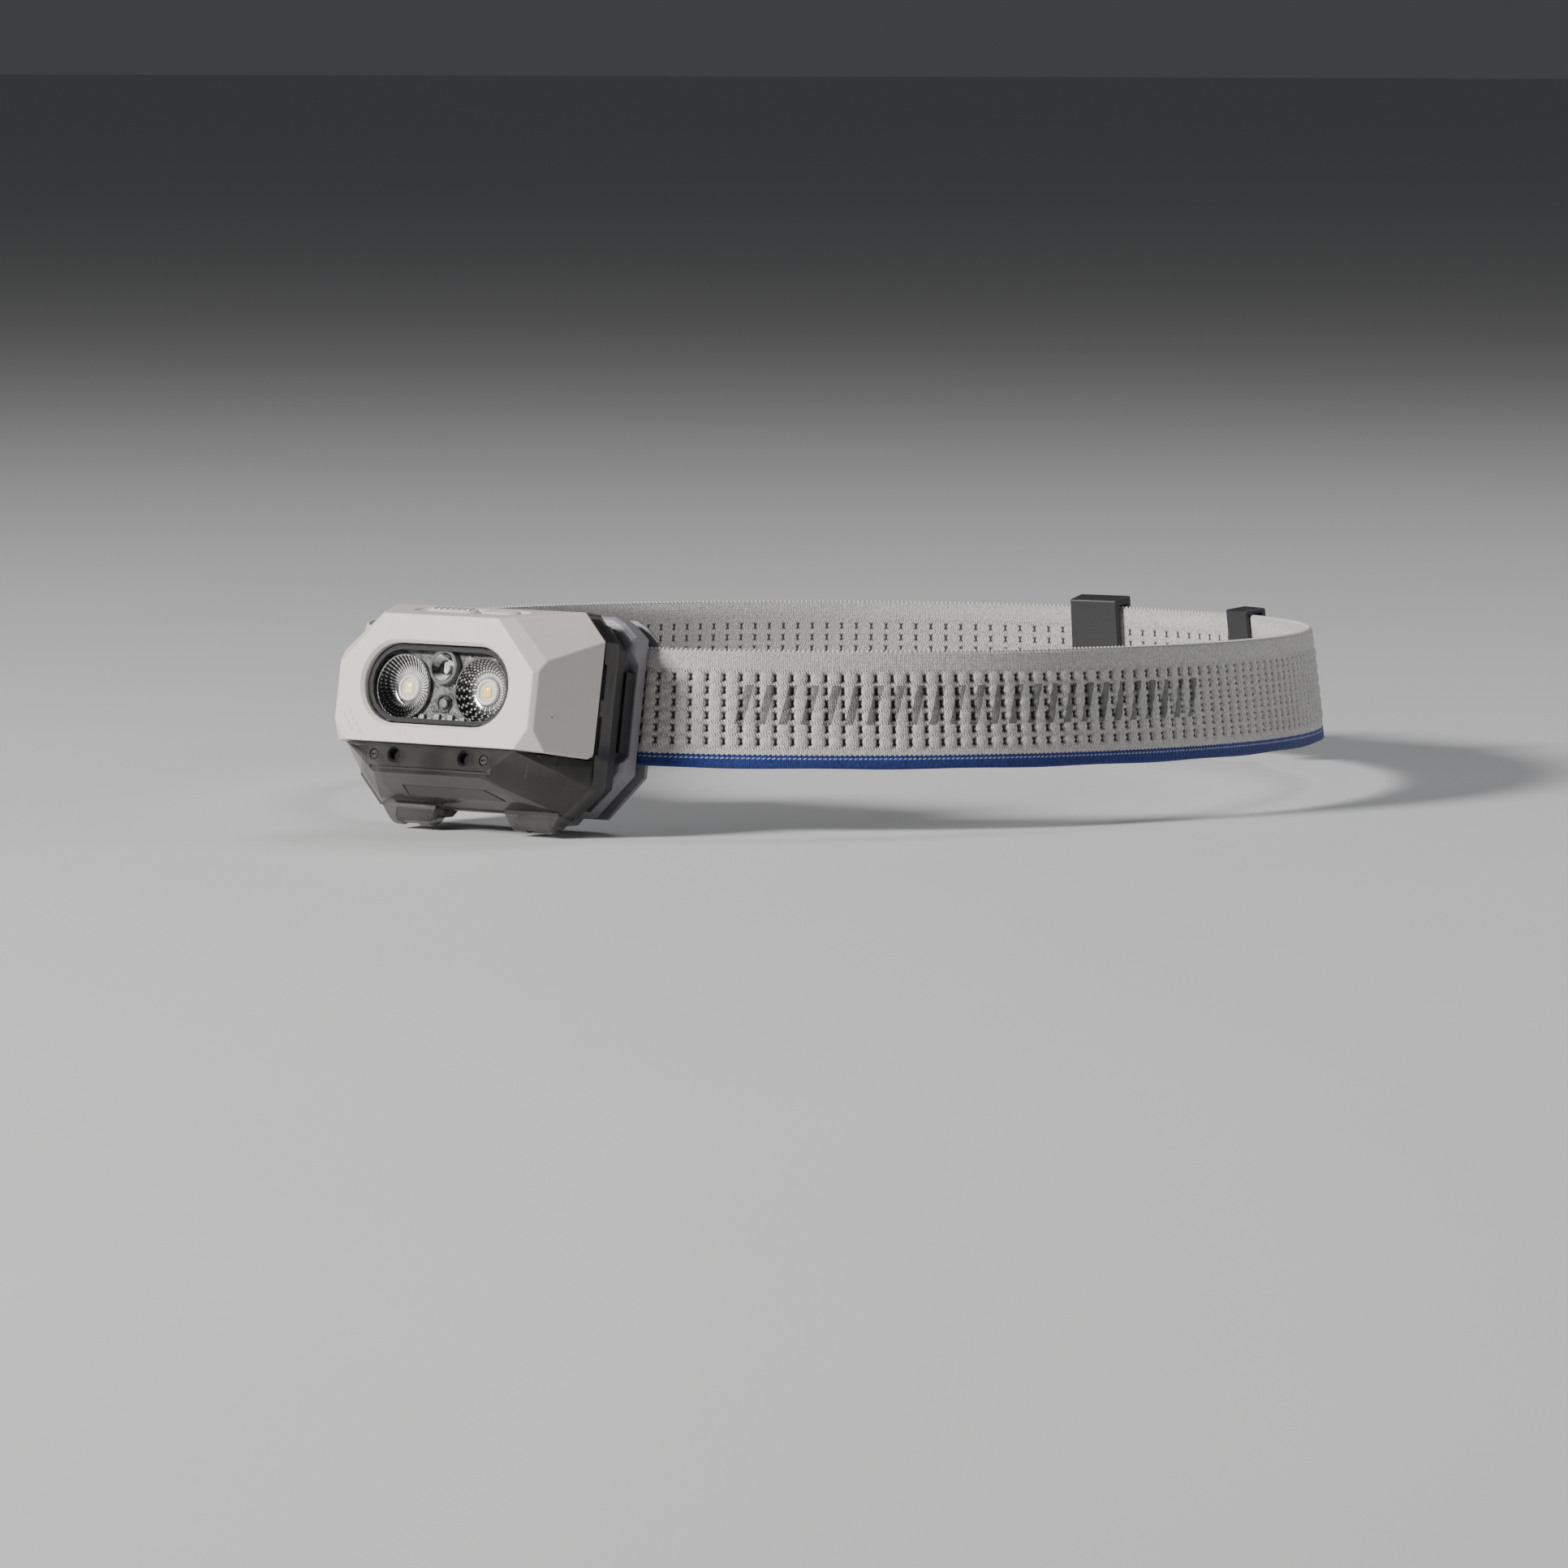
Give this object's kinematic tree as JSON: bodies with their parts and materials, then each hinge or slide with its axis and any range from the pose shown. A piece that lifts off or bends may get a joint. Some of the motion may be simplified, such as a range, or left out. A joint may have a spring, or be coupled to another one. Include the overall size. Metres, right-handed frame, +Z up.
{
  "type": "miner's cap lamp",
  "caption": "Cap lamp with a faceted twin-reflector head that tilts on a bracket, carried round a cap by an adjustable elastic strap.",
  "frame": {"origin": "middle of the back face of the cap pad, behind the bracket", "axes": "+X to the wearer's left, +Y back from the brow to the nape, +Z up; the lamp shines towards -Y, and its head and bracket lean back by 10 degrees"},
  "size_m": [0.2286, 0.3114, 0.0528],
  "materials": {
    "bezel": "satin moulded plastic, warm light grey",
    "smoke": "smoked translucent plastic",
    "clear": "clear polycarbonate, polished",
    "mirror": "vacuum-metallised reflector",
    "dark": "dark moulded plastic",
    "rubber": "black silicone rubber",
    "bracket": "lilac-grey moulded plastic",
    "steel": "stainless steel",
    "aluminium": "bare aluminium",
    "board": "green solder mask",
    "led": "yellow phosphor",
    "cell": "shrink wrap",
    "webbing": "woven elastic webbing"
  },
  "bodies": {
    "bracket": {"bracket_frame": "bracket", "bracket_plate": "bracket", "bracket_spacer_upper": "bracket", "bracket_spacer_lower": "bracket", "cap_pad": "rubber", "bracket_screw_upper_left": "steel", "bracket_screw_upper_right": "steel", "bracket_screw_lower_left": "steel", "bracket_screw_lower_right": "steel", "hinge_pin_left": "steel", "hinge_pin_right": "steel", "friction_washer_left": "steel", "friction_washer_right": "steel", "elastic_strap": "webbing", "strap_tail": "webbing", "strap_keeper": "dark"},
    "lamp_head": {"front_bezel": "bezel", "window_lens": "clear", "centre_lens": "clear", "lens_gasket": "rubber", "body_gasket": "rubber", "optic_carrier": "dark", "label_plate": "dark", "rear_cover": "dark", "smooth_button_switch": "dark", "ribbed_button_switch": "dark", "sensor_window_left": "dark", "sensor_window_right": "dark", "reflector_left": "mirror", "reflector_right": "mirror", "led_centre": "led", "led_left": "led", "led_right": "led", "led_board": "board", "driver_board": "board", "switch_board": "board", "heat_spreader": "aluminium", "housing": "smoke", "battery_cell": "cell", "battery_contact": "steel", "battery_spring": "steel", "usb_port": "steel", "front_screw_left": "steel", "front_screw_right": "steel", "cover_screw_upper_left": "steel", "cover_screw_upper_right": "steel", "cover_screw_lower_left": "steel", "cover_screw_lower_right": "steel"},
    "smooth_button": {"smooth_button": "bezel"},
    "ribbed_button": {"ribbed_button": "bezel"},
    "port_flap": {"port_flap": "rubber"},
    "strap_adjuster": {"strap_adjuster": "dark"}
  },
  "joints": [
    {"name": "head_tilt", "type": "hinge", "parent": "bracket", "child": "lamp_head", "pos_m": [0, -0.02714, -0.02263], "axis": [1, 0, 0], "range_deg": [0, 60]},
    {"name": "smooth_button_press", "type": "slide", "parent": "lamp_head", "child": "smooth_button", "axis": [0, 0.0482, -0.9988], "range_m": [0, 0.0006], "stiffness_N_per_m": 600, "springref_m": -0.0005},
    {"name": "ribbed_button_press", "type": "slide", "parent": "lamp_head", "child": "ribbed_button", "axis": [0, 0.0482, -0.9988], "range_m": [0, 0.0006], "stiffness_N_per_m": 600, "springref_m": -0.0005},
    {"name": "port_flap_swing", "type": "hinge", "parent": "lamp_head", "child": "port_flap", "pos_m": [-0.03365, -0.01441, 0.00924], "axis": [0, 0.9848, -0.1736], "range_deg": [0, 105]},
    {"name": "adjuster_travel", "type": "hinge", "parent": "bracket", "child": "strap_adjuster", "pos_m": [0, 0.16574, 0], "axis": [0, 0.022, 0.9998], "range_deg": [-12, 12]}
  ]
}
